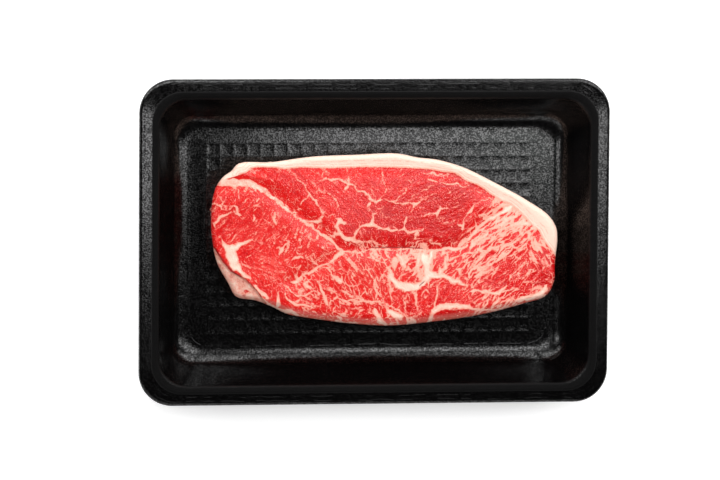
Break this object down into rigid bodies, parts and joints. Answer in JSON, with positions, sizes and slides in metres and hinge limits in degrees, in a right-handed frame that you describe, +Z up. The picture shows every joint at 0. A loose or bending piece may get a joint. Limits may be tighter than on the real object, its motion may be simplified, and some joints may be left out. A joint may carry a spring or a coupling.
{
  "type": "meat tray pack",
  "caption": "Shallow black foam meat tray with a flared wall, a flat rim and a ribbed floor, holding a raw marbled beef steak with a fat cap.",
  "frame": {"origin": "middle of the tray's flat underside, on the surface that it stands on", "axes": "+X along the tray's long side, +Y across the tray towards the fat cap, +Z up out of the tray"},
  "size_m": [0.21, 0.1446, 0.026],
  "materials": {
    "foam": "black expanded polystyrene foam with fine grain and a satin skin",
    "meat": "raw beef, red lean with cream marbling and a cream fat cap, moist"
  },
  "bodies": {
    "root": {"tray": "foam", "steak": "meat"}
  },
  "joints": []
}
